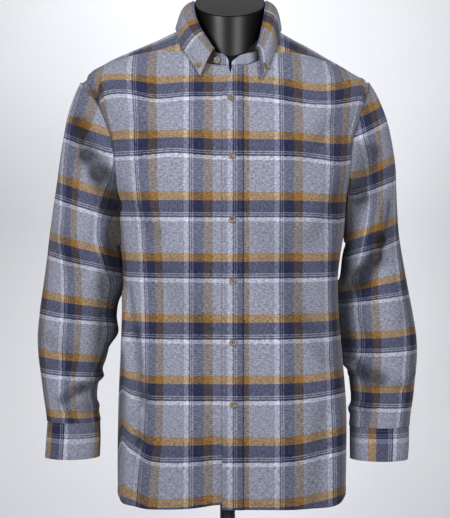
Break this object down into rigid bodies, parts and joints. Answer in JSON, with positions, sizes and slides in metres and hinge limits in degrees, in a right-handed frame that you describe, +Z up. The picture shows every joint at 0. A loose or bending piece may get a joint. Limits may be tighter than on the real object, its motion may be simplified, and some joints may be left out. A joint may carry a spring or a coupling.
{
  "type": "long-sleeved flannel shirt on a limbless dress form with a round stand",
  "caption": "Long-sleeved checked flannel shirt with button-down collar and front placket, filled out by a limbless dress form on a pole and round base.",
  "frame": {"origin": "on the floor under the middle of the round base", "axes": "+Z up, the shirt front looks along -Y, +X towards the wearer's left side"},
  "size_m": [0.626, 0.3, 1.1065],
  "materials": {
    "flannel": "brushed heather grey flannel with a navy, ochre and white check",
    "button": "mottled horn-like buttons",
    "form": "gloss black lacquer",
    "cap": "dark grey satin",
    "pole": "dark satin metal",
    "base": "dark satin metal"
  },
  "bodies": {
    "root": {"front_right_panel": "flannel", "front_left_panel": "flannel", "front_placket": "flannel", "back_panel": "flannel", "yoke": "flannel", "sleeve_right": "flannel", "sleeve_placket_right": "flannel", "cuff_right": "flannel", "sleeve_left": "flannel", "sleeve_placket_left": "flannel", "cuff_left": "flannel", "collar_stand": "flannel", "collar_leaf": "flannel", "front_button_1": "button", "front_button_2": "button", "front_button_3": "button", "front_button_4": "button", "front_button_5": "button", "front_button_6": "button", "neck_button": "button", "collar_button_right": "button", "collar_button_left": "button", "cuff_button_right": "button", "cuff_button_left": "button", "form_torso": "form", "form_neck_cap": "cap", "stand_pole": "pole", "stand_base": "base"}
  },
  "joints": []
}
